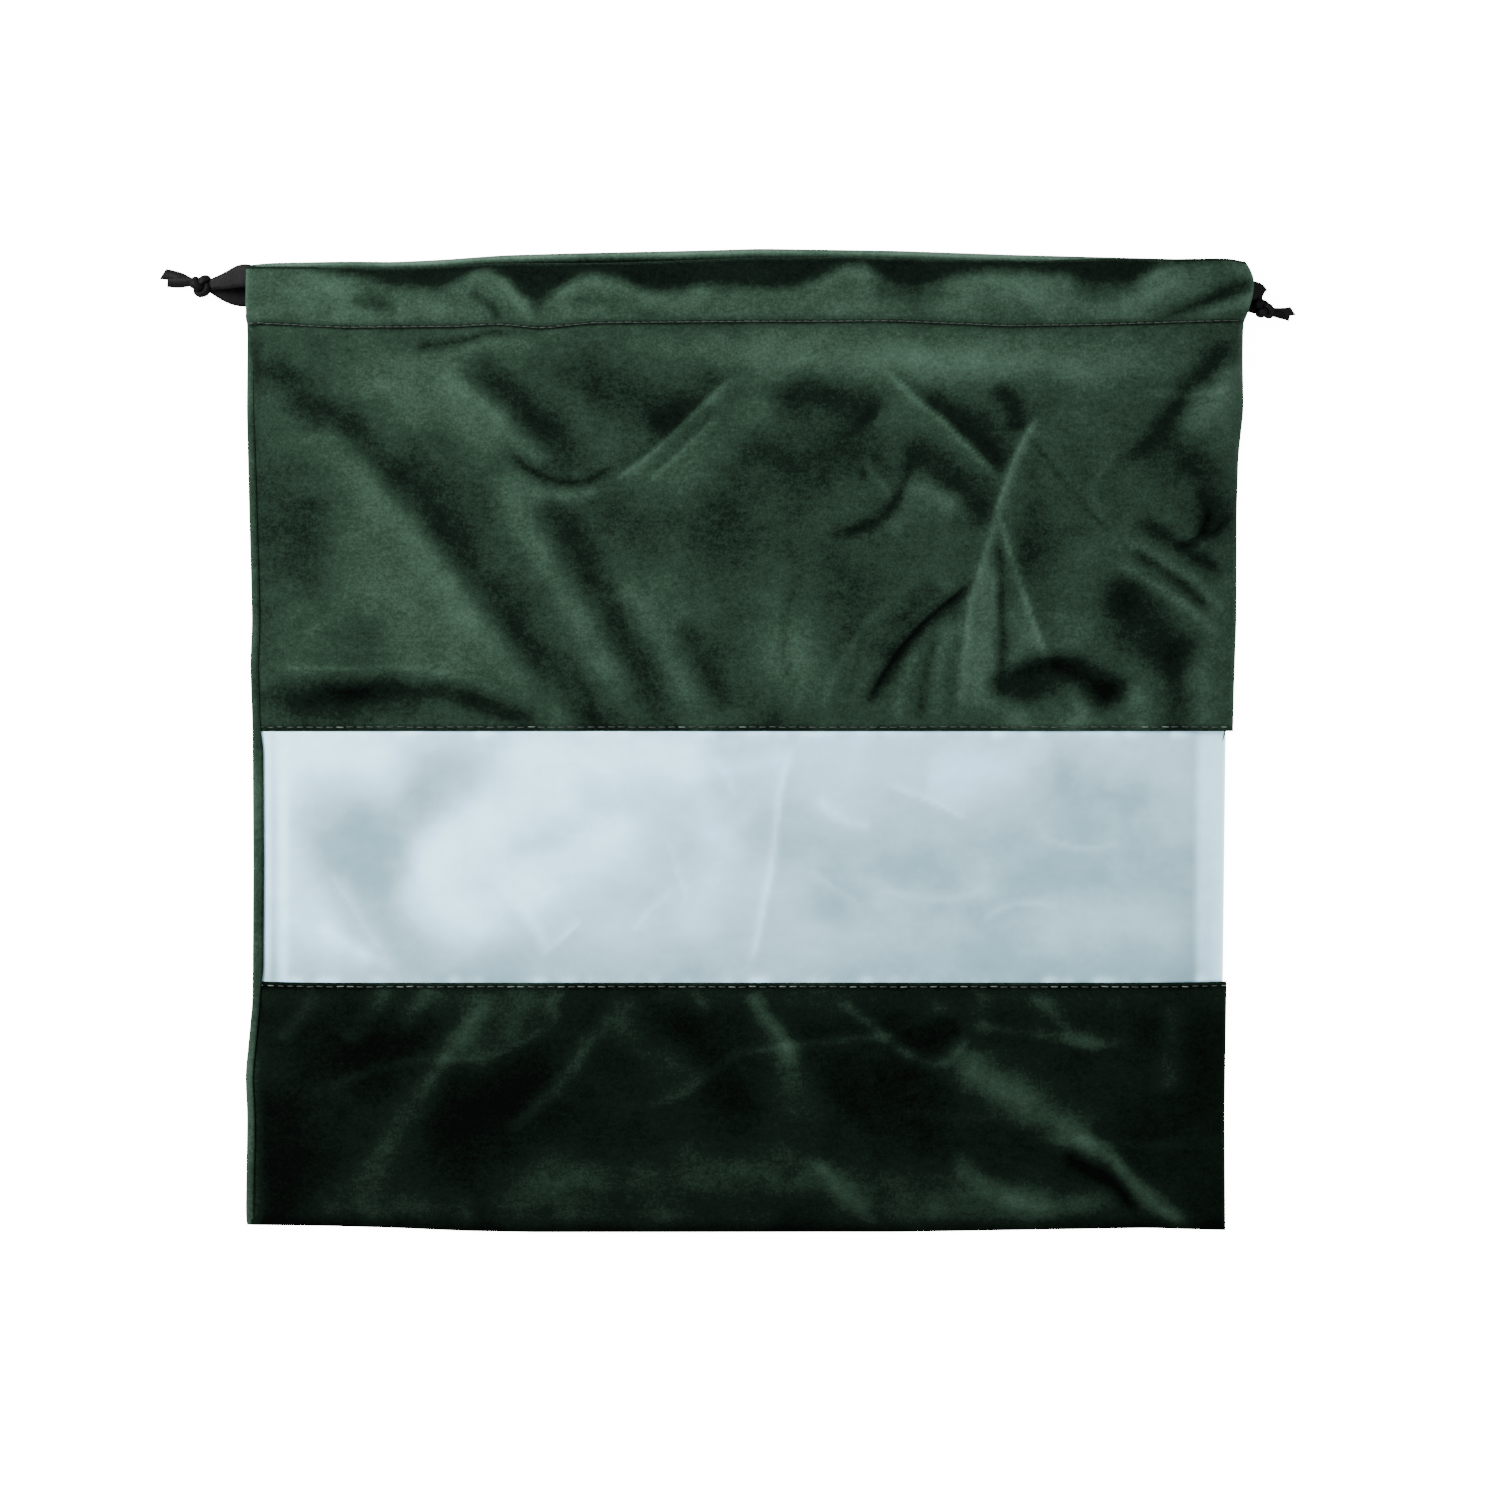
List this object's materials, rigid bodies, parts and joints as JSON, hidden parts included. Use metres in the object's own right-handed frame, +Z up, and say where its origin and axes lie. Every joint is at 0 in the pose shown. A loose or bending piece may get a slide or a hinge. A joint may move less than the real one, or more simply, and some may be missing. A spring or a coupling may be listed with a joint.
{
  "type": "drawstring sack",
  "caption": "Flat velvet drawstring sack with a clear film window band and two knotted ribbon drawstrings.",
  "frame": {"origin": "middle of the underside of the back cloth, on the surface that the sack lies on", "axes": "+Z up, out of the front face; +Y towards the mouth; +X along the mouth, to the right as seen from the front"},
  "size_m": [0.4516, 0.389, 0.0114],
  "materials": {
    "velvet": "short-pile velvet, dark green",
    "velvet_lower": "the same velvet, its pile turned so that it reads darker",
    "window_film": "clear flexible film, slightly clouded",
    "thread": "sewing thread",
    "ribbon": "flat woven ribbon, black, soft sheen"
  },
  "bodies": {
    "sack": {"back_panel": "velvet", "front_upper_panel": "velvet", "window_film": "window_film", "front_lower_panel": "velvet_lower", "front_casing_flap": "velvet", "back_casing_flap": "velvet", "front_casing_fold": "velvet", "back_casing_fold": "velvet", "left_seam_edge": "velvet", "right_seam_edge": "velvet", "bottom_seam_edge": "velvet_lower", "front_casing_stitching": "thread", "back_casing_stitching": "thread", "window_top_stitching": "thread", "window_bottom_stitching": "thread", "left_seam_stitching": "thread", "right_seam_stitching": "thread", "bottom_seam_stitching": "thread"},
    "left_string": {"left_drawstring": "ribbon", "left_knot": "ribbon", "left_tails": "ribbon"},
    "right_string": {"right_drawstring": "ribbon", "right_knot": "ribbon", "right_tails": "ribbon"}
  },
  "joints": [
    {"name": "left_pull", "type": "slide", "parent": "sack", "child": "left_string", "axis": [-1, 0, 0], "range_m": [0, 0.11], "deforming": ["front_upper_panel", "front_casing_flap", "back_casing_flap", "back_panel", "back_casing_fold", "front_casing_fold", "front_casing_stitching", "back_casing_stitching"]},
    {"name": "right_pull", "type": "slide", "parent": "sack", "child": "right_string", "axis": [1, 0, 0], "range_m": [0, 0.11], "deforming": ["front_upper_panel", "front_casing_flap", "back_casing_flap", "back_panel", "back_casing_fold", "front_casing_fold", "front_casing_stitching", "back_casing_stitching"]}
  ]
}
